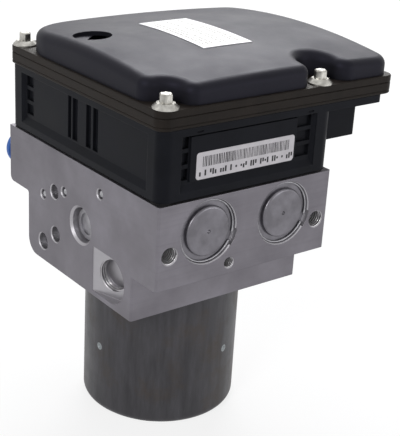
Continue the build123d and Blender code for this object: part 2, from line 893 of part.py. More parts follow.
def valve_armature(x, y, normally_open):
    low = armature_floor + armature_gap + (valve_travel if normally_open else 0)
    core = rod_z(dome_r - dome_wall - armature_gap, low, low + armature_h - armature_gap, x, y)
    core = chamfer(core.edges().filter_by(GeomType.CIRCLE), 0.3)
    return core + rod_z(needle_r, low - valve_depth * 0.7, low, x, y)


def coil(x, y):
    low = housing_z + floor_t
    high = low + coil_h
    bore = dome_r + free_gap
    barrel = coil_r - winding_inset
    outline = [
        (bore, low),
        (coil_r, low),
        (coil_r, low + coil_flange_t),
        (barrel, low + coil_flange_t),
        (barrel, high - coil_flange_t),
        (coil_r, high - coil_flange_t),
        (coil_r, high),
        (bore, high),
    ]
    winding = turned(outline, x, y)
    side = 1 if y > inlet_y else -1
    for step in (-1, 1):
        winding += rod_z(terminal_r, high, board_z, x + step * coil_r / 2, y + side * coil_r / 2)
    return winding


# ---------------------------------------------------------------- control unit
def footprint(inset=0.0):
    return housing_x0 + inset, housing_x1 - inset, housing_y0 + inset, housing_y1 - inset


def sill_cut(face, x0, x1):
    # recess in a wall that faces -Y, with a sloping sill
    low = housing_z + foot_rail_h
    high = flange_z - head_rail_h
    floor = face + panel_depth
    outline = Polyline((face, low), (face, high), (floor, high), (floor, low + sill_rise), close=True)
    return extrude(Plane.YZ.offset(x0) * make_face(outline), x1 - x0)


def window_levels():
    for i in range(window_count):
        z = flange_z - window_drop - i * window_pitch
        yield z - window_h / 2, z + window_h / 2


def panel_cuts():
    # recessed panels between the corner posts, with slots and windows in their floors
    x0, x1, y0, y1 = footprint()
    floor_depth = panel_depth + slot_cut
    slot_low = housing_z + foot_rail_h + sill_rise + slot_margin
    slot_high = flange_z - head_rail_h - slot_margin
    front = sill_cut(y0, x0 + post_w, x1 - post_w)
    back = sill_cut(-y1, x0 + post_w, x1 - post_w).mirror(Plane.XZ)
    left = Rot(0, 0, -90) * sill_cut(x0, side_post_w - y1, -y0 - post_w)
    cuts = [front, back, left]
    for low, high in window_levels():
        for x, w in front_windows:
            cuts.append(slab(x - w / 2, x + w / 2, y0, y0 + floor_depth, low, high))
            cuts.append(slab(x - w / 2, x + w / 2, y1 - floor_depth, y1, low, high))
        cuts.append(slab(x0, x0 + floor_depth, window_y - window_w / 2, window_y + window_w / 2, low, high))
    for y, w in side_slots:
        cuts.append(slab(x0, x0 + floor_depth, y - w / 2, y + w / 2, slot_low, slot_high))
    latch_z = flange_z - latch_drop
    for x in latch_xs:
        cuts.append(slab(x, x + latch_w, y0, y0 + latch_depth, latch_z - latch_h, latch_z))
    return cuts


def label_plate():
    floor = housing_y0 + panel_depth
    low = housing_z + foot_rail_h + sill_rise + plate_margin
    high = flange_z - head_rail_h - plate_margin
    return slab(plate_x0, plate_x1, floor - plate_t, floor, low, high)


def ecu_housing():
    x0, x1, y0, y1 = footprint()
    body = slab(x0, x1, y0, y1, housing_z, flange_z, band_corner_r)
    body += slab(x1 - flange_root, flange_x, y0, y1, flange_z - flange_t, flange_z, flange_corner_r)
    shroud_z = flange_z - flange_t - shroud_drop
    shroud = slab(x1, shroud_x, shroud_front, shroud_back, shroud_z, flange_z - flange_t)
    body += fillet(shroud.edges().filter_by(Axis.Z).group_by(Axis.X)[-1], shroud_corner_r)
    for cut in panel_cuts():
        body -= cut
    body += label_plate()
    cavity = footprint(housing_wall)
    body -= slab(*cavity, housing_z + floor_t, flange_z, opening_corner_r)
    socket_x0 = x1 + shroud_wall
    socket_x1 = shroud_x - shroud_wall
    socket_top = flange_z - flange_t - shroud_roof
    socket_y0 = shroud_front + shroud_wall
    socket_y1 = shroud_back - shroud_wall
    body -= slab(socket_x0, socket_x1, socket_y0, socket_y1, shroud_z, socket_top)
    block = slab(x0, x1, y0, y1, housing_z, flange_z, band_corner_r)
    for x, y in screw_places:
        body += rod_z(boss_r, housing_z, flange_z, x, y) & block
        body -= rod_z(screw_r + hole_gap, housing_z, flange_z, x, y)
    for x, y in valve_places:
        body -= rod_z(dome_r + free_gap, housing_z, housing_z + floor_t, x, y)
    body -= lead_slot(housing_z, housing_z + floor_t)
    for pin in connector_pins():
        body -= pin
    return body


def connector_pins():
    x_mid = (housing_x1 + shroud_x) / 2
    low = flange_z - flange_t - shroud_roof - pin_reach
    pins = []
    first_y = shroud_front + pin_inset
    for row in range(pin_rows):
        for column in range(pin_columns):
            x = x_mid + (row - (pin_rows - 1) / 2) * pin_pitch
            y = first_y + column * pin_pitch
            pins.append(slab(x - pin_w / 2, x + pin_w / 2, y - pin_w / 2, y + pin_w / 2, low, board_z))
    for i in range(blade_count):
        x = x_mid + (0.5 if i % 2 else -0.5) * blade_pitch
        y = first_y + pin_columns * pin_pitch + (i // 2 + 0.5) * blade_pitch
        pins.append(slab(x - blade_w / 2, x + blade_w / 2, y - pin_w / 2, y + pin_w / 2, low, board_z))
    return pins


def housing_gasket():
    x0, x1, y0, y1 = footprint(gasket_inset)
    gasket = slab(x0, x1, y0, y1, block_top, housing_z, band_corner_r - gasket_inset)
    x0, x1, y0, y1 = footprint(gasket_inset + gasket_w)
    gasket -= slab(x0, x1, y0, y1, block_top, housing_z, 2.0)
    for x, y in screw_places:
        gasket += rod_z(screw_r + 2.4, block_top, housing_z, x, y)
        gasket -= rod_z(screw_r + hole_gap, block_top, housing_z, x, y)
    return gasket


def band_blank(z0, z1):
    blank = slab(band_x0, band_x1, band_y0, band_y1, z0, z1, band_corner_r)
    blank = chamfer(blank.edges().group_by(Axis.Z)[0] + blank.edges().group_by(Axis.Z)[-1], band_edge)
    for x, y in screw_places:
        blank -= rod_z(screw_r + hole_gap, z0, z1, x, y)
    return blank


def band_opening(z0, z1, ring_w):
    x0, x1 = band_x0 + ring_w, band_x1 - ring_w
    y0, y1 = band_y0 + ring_w, band_y1 - ring_w
    opening = slab(x0, x1, y0, y1, z0, z1, opening_corner_r)
    for x, y in screw_places:
        opening -= rod_z(boss_r, z0, z1, x, y)
    return opening


def carrier_frame():
    lower = band_blank(flange_z, board_z) - band_opening(flange_z, board_z, carrier_ring + ledge_w)
    upper = band_blank(board_z, cover_frame_z) - band_opening(board_z, cover_frame_z, carrier_ring)
    return lower + upper


def cover_frame():
    # a shelf follows the cover's wall around the screw bays
    inner = offset(cover_outline(), -cover_wall - shelf_w)
    opening = band_opening(cover_frame_z, band_top, carrier_ring)
    opening &= extrude(Pos(0, 0, cover_frame_z) * inner, cover_frame_t)
    return band_blank(cover_frame_z, band_top) - opening


def circuit_board():
    gap = carrier_ring + free_gap
    board = slab(
        band_x0 + gap, band_x1 - gap, band_y0 + gap, band_y1 - gap, board_z, board_z + board_t, 1.8
    )
    for x, y in screw_places:
        board -= rod_z(boss_r + free_gap, board_z, board_z + board_t, x, y)
    return board


def on_board(x, y, w, d, h):
    top = board_z + board_t
    return slab(x - w / 2, x + w / 2, y - d / 2, y + d / 2, top, top + h)


def processor():
    package = on_board(10, 20, processor_w, processor_w, 2.6)
    return chamfer(package.edges().group_by(Axis.Z)[-1], 0.5)


def driver_chips():
    spots = [(-30, -28), (-8, -28), (14, -28), (-30, 30), (38, 24), (38, 2)]
    return [on_board(x, y, chip_w, chip_w * 0.7, 2.2) for x, y in spots]


def capacitors():
    top = board_z + board_t
    spots = [(58, -36), (58, -24), (-14, 44), (0, 44)]
    cans = [rod_z(capacitor_r, top, top + capacitor_h, x, y) for x, y in spots]
    return [fillet(can.edges().group_by(Axis.Z)[-1], 0.6) for can in cans]


def lobe_point(i):
    angle = 360 * i / lobe_steps
    return on_circle(screw_head_r - lobe_wave + lobe_wave * cos(radians(6 * angle)), angle)


def ecu_screw(x, y):
    rim = band_top + screw_flange_t
    cone_top = rim + screw_cone_h
    outline = [
        (0, block_top - screw_reach),
        (screw_r, block_top - screw_reach),
        (screw_r, band_top),
        (screw_flange_r, band_top),
        (screw_flange_r, rim),
        (screw_cone_r, cone_top),
        (0, cone_top),
    ]
    lobes = make_face(Spline(*[lobe_point(i) for i in range(lobe_steps)], periodic=True))
    head = extrude(Pos(x, y, cone_top) * lobes, band_top + screw_head_h - cone_top)
    return turned(outline, x, y) + chamfer(head.edges().group_by(Axis.Z)[-1], screw_top_edge)


# ---------------------------------------------------------------- domed cover
def cover_outline():
    left = band_x0 + cover_inset
    right = band_x1 - cover_right_inset
    front = band_y0 + cover_inset
    back = band_y1 - cover_back_inset
    middle = Pos((left + right) / 2, (front + back) / 2)
    outline = middle * Rectangle(right - left, back - front)
    # round scallop at the front left corner, around its screw
    outline -= Pos(screw_left_x, screw_front_y) * Circle(scallop_r)
    reach_x = (scallop_r**2 - (front - screw_front_y) ** 2) ** 0.5
    reach_y = (scallop_r**2 - (left - screw_left_x) ** 2) ** 0.5
    # bay in the front edge, around the right screw
    centre = front + bay_depth - bay_r
    outline -= Pos(bay_x, centre) * Circle(bay_r)
    outline -= Pos(bay_x, (front + centre) / 2) * Rectangle(2 * bay_r, centre - front)
    room = right - cover_corner_r - (bay_x + bay_r)
    corners = (
        (screw_left_x + reach_x, front, scallop_blend_r),
        (left, screw_front_y + reach_y, scallop_blend_r),
        (bay_x - bay_r, front, bay_left_blend_r),
        (bay_x + bay_r, front, bay_blend_share * room),
        (right, front, cover_corner_r),
        (right, back, cover_corner_r),
        (left, back, back_left_r),
    )
    for x, y, r in corners:
        vertex = outline.vertices().sort_by(lambda v: hypot(v.X - x, v.Y - y))[0]
        outline = fillet(vertex, r)
    return outline


def crown(drop):
    # doubly curved block under the cover's skin, lowered by drop
    x_mid = (band_x0 + band_x1) / 2
    y_mid = (band_y0 + band_y1) / 2
    peak = dome_z - drop
    side = peak - crown_drop_y
    low = flange_z - cover_wall
    y0 = band_y0 + cover_inset
    y1 = band_y1 - cover_inset
    arch = ThreePointArc((y0, side), (y_mid, peak), (y1, side))
    base = Polyline((y1, side), (y1, low), (y0, low), (y0, side))
    profile = Plane.YZ.offset(x_mid) * make_face([arch, base])
    axis = Axis((x_mid, 0, peak - crown_radius_x), (0, 1, 0))
    half_angle = degrees(asin((band_x1 - band_x0) / 2 / (crown_radius_x - dome_z + low)))
    return revolve(profile.rotate(axis, -half_angle), axis, 2 * half_angle)


def ecu_cover():
    outline = cover_outline()
    skin = extrude(Pos(0, 0, band_top) * outline, dome_z - band_top) & crown(0)
    rim = [e for e in skin.edges() if e.center().Z > band_top + 3 and abs(e.tangent_at(0.5).Z) < 0.5]
    skin = fillet(rim, cover_edge_r)
    hollow = offset(outline, -cover_wall)
    inside = extrude(Pos(0, 0, band_top) * hollow, dome_z - band_top) & crown(cover_wall)
    rim_z = dome_z + well_rim
    floor_z = rim_z - well_depth
    skin += rod_z(well_r, floor_z, rim_z, well_x, well_y)
    skin -= rod_z(well_r - well_wall, floor_z, rim_z, well_x, well_y)
    inside -= rod_z(well_r, floor_z - cover_wall, rim_z, well_x, well_y)
    return skin - inside


# ---------------------------------------------------------------- labels
def front_label():
    y1 = housing_y0 + panel_depth - plate_t
    z0 = block_top + front_label_lift
    face = Pos(front_label_x, z0 + front_label_h / 2) * RectangleRounded(
        front_label_w, front_label_h, front_label_corner_r
    )
    return extrude(Plane.XZ.offset(-y1) * face, label_t)


def top_label():
    x0 = top_label_x - top_label_w / 2
    y0 = top_label_y - top_label_d / 2
    tile = slab(x0, x0 + top_label_w, y0, y0 + top_label_d, band_top, dome_z + 1.0)
    return (tile & crown(-label_t - glue_t)) - crown(-glue_t)


# ---------------------------------------------------------------- write every piece
save("motor_can", motor_can())
save("motor_magnets", *magnets())
save("armature_core", armature_core())
save("armature_winding", armature_winding())
save("commutator", commutator())
save("motor_shaft", motor_shaft())
save("eccentric_ring", eccentric_ring())
save("foot_bearing", ball_bearing(foot_bearing_r, shaft_foot_r, can_wall, foot_bearing_w))
save("head_bearing", ball_bearing(head_bearing_r, shaft_head_r, head_bearing_z, head_bearing_w))
save("brush_plate", brush_plate())
save("brushes", *brushes())
save("end_shield", end_shield())
save("motor_bolts", *motor_bolts())
save("motor_leads", *motor_leads())
save("shaft_seal", shaft_seal())
save("hydraulic_block", hydraulic_block())
save("ball_plugs", *ball_plugs())
save("transit_plug", transit_plug())
save("pump_plugs", pump_plug(), mirrored_x(pump_plug()))
save("pump_sleeves", pump_sleeve(), mirrored_x(pump_sleeve()))
save("pump_plunger_1", mirrored_x(pump_plunger()))
save("pump_plunger_2", pump_plunger())
save("pump_spring_1", mirrored_x(pump_spring()))
save("pump_spring_2", pump_spring())
save("accumulator_caps", *on_both_accumulators(accumulator_cap()))
save("retaining_rings", *on_both_accumulators(retaining_ring()))
for name, piece in (
    ("accumulator_piston", accumulator_piston()),
    ("accumulator_seal", accumulator_seal()),
    ("accumulator_spring", accumulator_spring()),
):
    right, left = on_both_accumulators(piece)
    save(f"{name}_1", left)
    save(f"{name}_2", right)
save("inlet_valves", *[valve_body(x, inlet_y) for x in valve_xs])
save("outlet_valves", *[valve_body(x, outlet_y) for x in valve_xs])
for i, (x, y) in enumerate(valve_places):
    save(f"valve_armature_{i + 1}", valve_armature(x, y, y == inlet_y))
save("inlet_coils", *[coil(x, inlet_y) for x in valve_xs])
save("outlet_coils", *[coil(x, outlet_y) for x in valve_xs])
save("housing_gasket", housing_gasket())
save("ecu_housing", ecu_housing())
save("connector_pins", *connector_pins())
save("carrier_frame", carrier_frame())
save("circuit_board", circuit_board())
save("processor", processor())
save("driver_chips", *driver_chips())
save("capacitors", *capacitors())
save("cover_frame", cover_frame())
save("ecu_cover", ecu_cover())
save("ecu_screws", *[ecu_screw(x, y) for x, y in screw_places])
save("front_label", front_label())
save("top_label", top_label())
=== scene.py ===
import random
from math import radians

import bpy
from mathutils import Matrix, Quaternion, Vector


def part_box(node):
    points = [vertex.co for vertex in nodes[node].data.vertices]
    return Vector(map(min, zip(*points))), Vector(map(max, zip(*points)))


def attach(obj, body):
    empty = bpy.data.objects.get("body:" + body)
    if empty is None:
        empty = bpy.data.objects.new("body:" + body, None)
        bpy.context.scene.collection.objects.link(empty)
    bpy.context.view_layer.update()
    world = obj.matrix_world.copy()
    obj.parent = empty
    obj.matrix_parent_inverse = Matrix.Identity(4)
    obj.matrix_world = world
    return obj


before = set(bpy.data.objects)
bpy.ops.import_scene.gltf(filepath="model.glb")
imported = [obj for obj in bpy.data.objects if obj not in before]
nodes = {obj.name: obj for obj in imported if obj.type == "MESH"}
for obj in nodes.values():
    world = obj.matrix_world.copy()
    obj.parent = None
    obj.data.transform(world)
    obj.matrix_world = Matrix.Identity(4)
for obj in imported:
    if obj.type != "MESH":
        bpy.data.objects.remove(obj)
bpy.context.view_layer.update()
mm = 0.001
white = (1, 1, 1, 1)
noiseSpan = (0.3, 0.7)  # where most values of a noise lie
edgeSamples = 6
bandTurn = 6.28         # from the height of a band to the scale of its wave
print("frame loaded", len(nodes), "nodes")


def linearColour(hexCode):
    parts = [int(hexCode[i:i + 2], 16) / 255 for i in (1, 3, 5)]
    linear = [c / 12.92 if c <= 0.04045 else ((c + 0.055) / 1.055) ** 2.4 for c in parts]
    return linear + [1.0]


def perMetre(sizeMm):  # pattern scale from a real size
    return 1000 / sizeMm


def addNode(mat, kind, settings=None):
    # a setting is a property, the value of an input, or the output that feeds it
    node = mat.node_tree.nodes.new(kind)
    for name, value in (settings or {}).items():
        if isinstance(value, bpy.types.NodeSocket):
            mat.node_tree.links.new(value, node.inputs[name])
        elif isinstance(name, int) or name in node.inputs:
            node.inputs[name].default_value = value
        else:
            setattr(node, name, value)
    return node


def addNoise(mat, coord, pattern):
    # a pattern is its size in mm, its detail and its roughness
    sizeMm, detail, rough = pattern
    return addNode(mat, "ShaderNodeTexNoise", {
        "Vector": coord, "Scale": perMetre(sizeMm), "Detail": detail, "Roughness": rough,
    }).outputs["Fac"]


def addBands(mat, coord, sizeMm, distortion):
    # level bands, each light or dark one as high as the size
    return addNode(mat, "ShaderNodeTexWave", {
        "Vector": coord, "bands_direction": "Z", "Scale": perMetre(sizeMm) / bandTurn,
        "Distortion": distortion,
    }).outputs["Fac"]


def addStretch(mat, coord, factors):
    return addNode(mat, "ShaderNodeMapping", {"Vector": coord, "Scale": factors}).outputs[0]


def addMath(mat, operation, first, second, clamp=False):
    return addNode(mat, "ShaderNodeMath", {
        "operation": operation, "use_clamp": clamp, 0: first, 1: second,
    }).outputs[0]


def addVectorMath(mat, operation, first, second=None):
    settings = {"operation": operation, 0: first}
    if second is not None:
        settings[1] = second
    return addNode(mat, "ShaderNodeVectorMath", settings)


def addTone(mat, value, stops):
    # a stop is a place from 0 to 1 and a colour
    ramp = addNode(mat, "ShaderNodeValToRGB", {"Fac": value})
    first, last = ramp.color_ramp.elements[0], ramp.color_ramp.elements[1]
    first.position, first.color = stops[0][0], linearColour(stops[0][1])
    last.position, last.color = stops[-1][0], linearColour(stops[-1][1])
    for place, hexCode in stops[1:-1]:
        ramp.color_ramp.elements.new(place).color = linearColour(hexCode)
    return ramp.outputs["Color"]


def addRange(mat, value, source, target):
    return addNode(mat, "ShaderNodeMapRange", {
        "Value": value, "From Min": source[0], "From Max": source[1],
        "To Min": target[0], "To Max": target[1],
    }).outputs[0]


def addMix(mat, share, first, second, blend="MIX"):
    return addNode(mat, "ShaderNodeMix", {
        "data_type": "RGBA", "blend_type": blend, 0: share, 6: first, 7: second,
    }).outputs[2]


def addEdges(mat, radiusMm):  # worn edges, drawn by the shader alone
    return addNode(mat, "ShaderNodeBevel", {
        "Radius": radiusMm * mm, "samples": edgeSamples,
    }).outputs[0]


def addBump(mat, height, bump, edges=None):
    # a bump is its strength and its depth in mm
    settings = {"Height": height, "Strength": bump[0], "Distance": bump[1] * mm}
    if edges is not None:
        settings["Normal"] = edges
    return addNode(mat, "ShaderNodeBump", settings).outputs[0]


def insideBox(mat, coord, low, high):
    # 1 inside the box between two corners in mm, 0 outside
    centre = [(a + b) / 2 * mm for a, b in zip(low, high)]
    half = [(b - a) / 2 * mm for a, b in zip(low, high)]
    shift = addVectorMath(mat, "SUBTRACT", coord, centre)
    away = addVectorMath(mat, "ABSOLUTE", shift.outputs[0])
    over = addVectorMath(mat, "SUBTRACT", away.outputs[0], half)
    axes = addNode(mat, "ShaderNodeSeparateXYZ", {"Vector": over.outputs[0]}).outputs
    flat = addMath(mat, "MAXIMUM", axes[0], axes[1])
    return addMath(mat, "LESS_THAN", addMath(mat, "MAXIMUM", flat, axes[2]), 0.0)


def insideBall(mat, coord, centre, radiusMm):
    # 1 inside the ball round a centre in mm, 0 outside
    away = addVectorMath(mat, "DISTANCE", coord, [c * mm for c in centre])
    return addMath(mat, "LESS_THAN", away.outputs["Value"], radiusMm * mm)


def seenDirectly(mat):
    # 1 for what the camera sees, also in a mirror or through glass, 0 for light alone
    rays = addNode(mat, "ShaderNodeLightPath").outputs
    seen = addMath(mat, "ADD", rays["Is Camera Ray"], rays["Is Glossy Ray"])
    return addMath(mat, "ADD", seen, rays["Is Transmission Ray"], clamp=True)


def mixShaders(mat, share, first, second):
    return addNode(mat, "ShaderNodeMixShader", {
        0: share, 1: first.outputs[0], 2: second.outputs[0],
    })


def startMaterial(name):
    mat = bpy.data.materials.new(name)
    mat.use_nodes = True
    mat.node_tree.nodes.clear()
    return mat, addNode(mat, "ShaderNodeTexCoord").outputs["Object"]


def endMaterial(mat, settings):
    skin = addNode(mat, "ShaderNodeBsdfPrincipled", settings)
    addNode(mat, "ShaderNodeOutputMaterial", {"Surface": skin.outputs[0]})
    return mat


def deselect():
    bpy.ops.object.select_all(action="DESELECT")


def pick(piece):
    deselect()
    piece.select_set(True)
    bpy.context.view_layer.objects.active = piece


cameraSettings = {
    "spot": (-0.30195, -0.40781, 0.30680),
    "azimuth": -38.502,
    "elevation": 22.400,
    "roll": 3.4127,
    "lens": 89.81,
    "sensor": 36,
    "clip": (0.05, 50),
}


def placeCamera(s):
    deselect()
    bpy.ops.object.camera_add(location=s["spot"])
    cam = bpy.context.object
    cam.name = "bodyCamera"
    turn = Quaternion((0, 0, 1), radians(s["azimuth"]))
    tilt = Quaternion((1, 0, 0), radians(90 - s["elevation"]))
    roll = Quaternion((0, 0, 1), radians(s["roll"]))
    cam.rotation_mode = "QUATERNION"
    cam.rotation_quaternion = turn @ tilt @ roll
    cam.data.sensor_width = s["sensor"]
    cam.data.lens = s["lens"]
    cam.data.clip_start, cam.data.clip_end = s["clip"]
    bpy.context.scene.camera = cam


placeCamera(cameraSettings)
bpy.context.scene.view_settings.view_transform = "Standard"
print("camera placed")


lightSettings = {
    "skyTint": "#f4f6ff",
    "skyLight": 0.24,   # what falls on the object from all round
    "backdrop": 1.0,    # what the camera sees behind it
    "target": (0.0, 0.0, 0.11),
    "lamps": {
        "overheadSoftbox": {"spot": (0.50, 0.70, 1.35), "size": 1.1, "watts": 16},
        "backSoftbox": {"spot": (0.95, 1.06, 1.16), "size": 0.8, "watts": 13},
        "lowFill": {"spot": (0.60, -1.05, 0.22), "size": 0.5, "watts": 2.4},
        "leftKey": {"spot": (-1.05, -0.55, 0.75), "size": 0.35, "watts": 6},
    },
}


def lightStudio(s):
    world = bpy.data.worlds.new("studioWorld")
    bpy.context.scene.world = world
    world.use_nodes = True
    world.node_tree.nodes.clear()
    sky = addNode(world, "ShaderNodeBackground", {
        "Color": linearColour(s["skyTint"]), "Strength": s["skyLight"],
    })
    backdrop = addNode(world, "ShaderNodeBackground", {"Color": white, "Strength": s["backdrop"]})
    both = mixShaders(world, seenDirectly(world), sky, backdrop)
    addNode(world, "ShaderNodeOutputWorld", {"Surface": both.outputs[0]})
    for name, lamp in s["lamps"].items():
        deselect()
        bpy.ops.object.light_add(type="AREA", location=lamp["spot"])
        light = bpy.context.object
        light.name = name
        light.data.size = lamp["size"]
        light.data.energy = lamp["watts"]
        light.visible_camera = False
        aim = Vector(s["target"]) - Vector(lamp["spot"])
        light.rotation_mode = "QUATERNION"
        light.rotation_quaternion = aim.to_track_quat("-Z", "Y")


floorSettings = {
    "size": 14,
    "cuts": 4,
    "board": "#d4d4d6",   # its colour for the light that it throws back
    "glow": 0.82,         # share of plain white in what the camera sees
    "glowLight": 1.0,
}


def layFloor(s):
    deselect()
    bpy.ops.mesh.primitive_grid_add(x_subdivisions=s["cuts"], y_subdivisions=s["cuts"],
                                    size=s["size"], location=(0, 0, 0))
    floor = bpy.context.object
    floor.name = "studioFloor"
    mat, _ = startMaterial("paintedBoard")
    board = addNode(mat, "ShaderNodeBsdfDiffuse", {"Color": linearColour(s["board"])})
    paleBoard = addNode(mat, "ShaderNodeBsdfDiffuse", {"Color": white})
    glow = addNode(mat, "ShaderNodeEmission", {"Color": white, "Strength": s["glowLight"]})
    shown = mixShaders(mat, s["glow"], paleBoard, glow)
    both = mixShaders(mat, seenDirectly(mat), board, shown)
    addNode(mat, "ShaderNodeOutputMaterial", {"Surface": both.outputs[0]})
    floor.data.materials.append(mat)


lightStudio(lightSettings)
layFloor(floorSettings)
print("studio lit")


millingSettings = {
    "tones": ((0.30, "#6c696f"), (0.52, "#77747a"), (0.72, "#838087")),
    "clouds": (34, 5.0, 0.6),          # slow change of tone over a face
    "lines": (1.3, 3.0, 0.7),          # cutter lines, really 0.3 mm, coarse enough to show
    "lineStretch": (0.02, 0.02, 1.0),  # they run level
    "lineTones": ((0.25, "#c9c8cc"), (0.6, "#ffffff")),
    "lineShare": 0.3,
    "lineBump": (0.6, 0.05),
    "polish": (0.34, 0.5),
    "edgeMm": 0.35,
    "metal": 0.85,
    "brushed": 0.25,
    # pale tone for hole and pocket walls: painted reflected light for bores that lie in shade
    "paintedBoreLight": "#a5a3a7",
    "paintedLightZones": (                      # inside the faces: walls of holes and pockets, where the pale tone is painted light
        ((-49.9, -43.2, 71.7), (49.9, 49.9, 133.9)),
        ((-48.7, -62.9, 94.1), (48.7, -43.2, 133.9)),
    ),
}


def milledAluminium(s):
    # grey satin with fine cutter lines and bright broken edges
    mat, coord = startMaterial("milledAluminium")
    tone = addTone(mat, addNoise(mat, coord, s["clouds"]), s["tones"])
    lines = addNoise(mat, addStretch(mat, coord, s["lineStretch"]), s["lines"])
    lineTone = addTone(mat, lines, s["lineTones"])
    colour = addMix(mat, s["lineShare"], tone, lineTone, "MULTIPLY")
    # hole and pocket walls take the pale tone: painted reflected light
    zones = [insideBox(mat, coord, low, high) for low, high in s["paintedLightZones"]]
    paintedLightMask = addMath(mat, "MAXIMUM", *zones)
    return endMaterial(mat, {
        "Metallic": s["metal"],
        "Anisotropic": s["brushed"],
        "Base Color": addMix(mat, paintedLightMask, colour, linearColour(s["paintedBoreLight"])),
        "Roughness": addRange(mat, lines, noiseSpan, s["polish"]),
        "Normal": addBump(mat, lines, s["lineBump"], addEdges(mat, s["edgeMm"])),
    })


pressedSettings = {
    "pressedAluminium": {"tones": ((0.35, "#68666b"), (0.7, "#7a787e")),
                         "clouds": (6, 4.0, 0.5), "rough": 0.36},
    # tones raised above the steel's own grey: painted light for plugs that sit in shaded recesses
    "turnedSteel": {"tones": ((0.35, "#8d8c90"), (0.7, "#a9a8ac")),
                    "clouds": (4, 4.0, 0.5), "rough": 0.42},
    # pale thread tone: a painted highlight for threads that lie in shade inside their holes
    "paintedLightAluminium": {"tones": ((0.35, "#b5b3b6"), (0.7, "#d6d4d6")),
                          "clouds": (3, 4.0, 0.5), "rough": 0.3},
}
pressedFinish = {"metal": 0.9, "bump": (0.3, 0.03)}


def pressedMetal(name, s, finish):
    # drawn cap, turned plug or thread: smoother than a milled face; the pale tones of the thread
    # and the plug carry painted light
    mat, coord = startMaterial(name)
    clouds = addNoise(mat, coord, s["clouds"])
    return endMaterial(mat, {
        "Metallic": finish["metal"],
        "Roughness": s["rough"],
        "Base Color": addTone(mat, clouds, s["tones"]),
        "Normal": addBump(mat, clouds, finish["bump"]),
    })


canSettings = {
    "tones": ((0.30, "#39383b"), (0.50, "#434245"), (0.72, "#4d4c50")),
    "streaks": (5, 6.0, 0.65),
    "streakStretch": (1.0, 1.0, 0.16),  # drawing streaks run up the wall
    "stains": (26, 8.0, 0.7),
    "stainTone": "#4a4036",
    "stainFrom": (0.50, 0.68),
    "stainShare": (0.0, 0.6),
    "pits": (0.9, 3.0, 0.5),
    "pitBump": (0.35, 0.06),
    "polish": (0.34, 0.58),
    "metal": 0.55,
    "shine": 0.4,
    "crimpBareAndGlintTone": "#8c9193",
    "crimpMm": 1.9,                     # pale spot at each crimp: uncoated metal with a painted highlight
    "crimps": ((-39.4, -2.8, 36.0), (12.9, -37.3, 36.0), (17.3, 35.5, 36.0)),
}


def coatedSteel(s):
    # deep-drawn steel with a dark oiled coat, brown stains and pale crimp spots that are uncoated
    # metal with a painted highlight
    mat, coord = startMaterial("coatedDrawnSteel")
    streaks = addNoise(mat, addStretch(mat, coord, s["streakStretch"]), s["streaks"])
    tone = addTone(mat, streaks, s["tones"])
    stains = addNoise(mat, coord, s["stains"])
    where = addRange(mat, stains, s["stainFrom"], s["stainShare"])
    colour = addMix(mat, where, tone, linearColour(s["stainTone"]))
    # pale crimp spots: uncoated metal with a painted highlight
    for spot in s["crimps"]:
        bareAndGlint = insideBall(mat, coord, spot, s["crimpMm"])
        colour = addMix(mat, bareAndGlint, colour, linearColour(s["crimpBareAndGlintTone"]))
    return endMaterial(mat, {
        "Metallic": s["metal"],
        "Specular IOR Level": s["shine"],
        "Base Color": colour,
        "Roughness": addRange(mat, stains, noiseSpan, s["polish"]),
        "Normal": addBump(mat, addNoise(mat, coord, s["pits"]), s["pitBump"]),
    })


zincSettings = {
    "tones": ((0.35, "#96948f"), (0.65, "#c6c4be")),
    "clouds": (3.5, 4.0, 0.5),
    "grain": (0.7, 2.0, 0.5),
    "grainBump": (0.1, 0.02),
    "metal": 0.95,
    "rough": 0.36,
}


def zincSteel(s):
    # bright zinc plate on cold-headed steel, slightly cloudy
    mat, coord = startMaterial("zincPlatedSteel")
    return endMaterial(mat, {
        "Metallic": s["metal"],
        "Roughness": s["rough"],
        "Base Color": addTone(mat, addNoise(mat, coord, s["clouds"]), s["tones"]),
        "Normal": addBump(mat, addNoise(mat, coord, s["grain"]), s["grainBump"]),
    })


groundSettings = {
    "tones": ((0.3, "#8d8d90"), (0.7, "#b9b9bc")),
    "lines": (0.8, 2.0, 0.5),
    "lineStretch": (0.1, 0.1, 1.0),
    "metal": 1.0,
    "rough": 0.22,
}


def groundSteel(s):
    # hardened bearing steel: near mirror with faint grinding lines
    mat, coord = startMaterial("groundBearingSteel")
    lines = addNoise(mat, addStretch(mat, coord, s["lineStretch"]), s["lines"])
    return endMaterial(mat, {
        "Metallic": s["metal"],
        "Roughness": s["rough"],
        "Base Color": addTone(mat, lines, s["tones"]),
    })


copperSettings = {
    "tones": ((0.1, "#7d3d1c"), (0.8, "#c4733f")),
    "wireMm": 0.9,
    "waver": 0.4,
    "wireBump": (0.8, 0.3),
    "metal": 0.8,
    "rough": 0.3,
}


def enamelledCopper(s):
    # winding wire: reddish, the round of each turn catches light
    mat, coord = startMaterial("enamelledCopper")
    wire = addBands(mat, coord, s["wireMm"], s["waver"])
    return endMaterial(mat, {
        "Metallic": s["metal"],
        "Roughness": s["rough"],
        "Base Color": addTone(mat, wire, s["tones"]),
        "Normal": addBump(mat, wire, s["wireBump"]),
    })


stackSettings = {
    "tones": ((0.1, "#3a3a3d"), (0.6, "#6a6a6e")),
    "sheetMm": 0.5,
    "waver": 0.0,
    "metal": 0.8,
    "rough": 0.45,
}


def laminatedSteel(s):
    # stacked dynamo sheet: dark joints between grey edges
    mat, coord = startMaterial("laminatedSheet")
    sheets = addBands(mat, coord, s["sheetMm"], s["waver"])
    return endMaterial(mat, {
        "Metallic": s["metal"],
        "Roughness": s["rough"],
        "Base Color": addTone(mat, sheets, s["tones"]),
    })


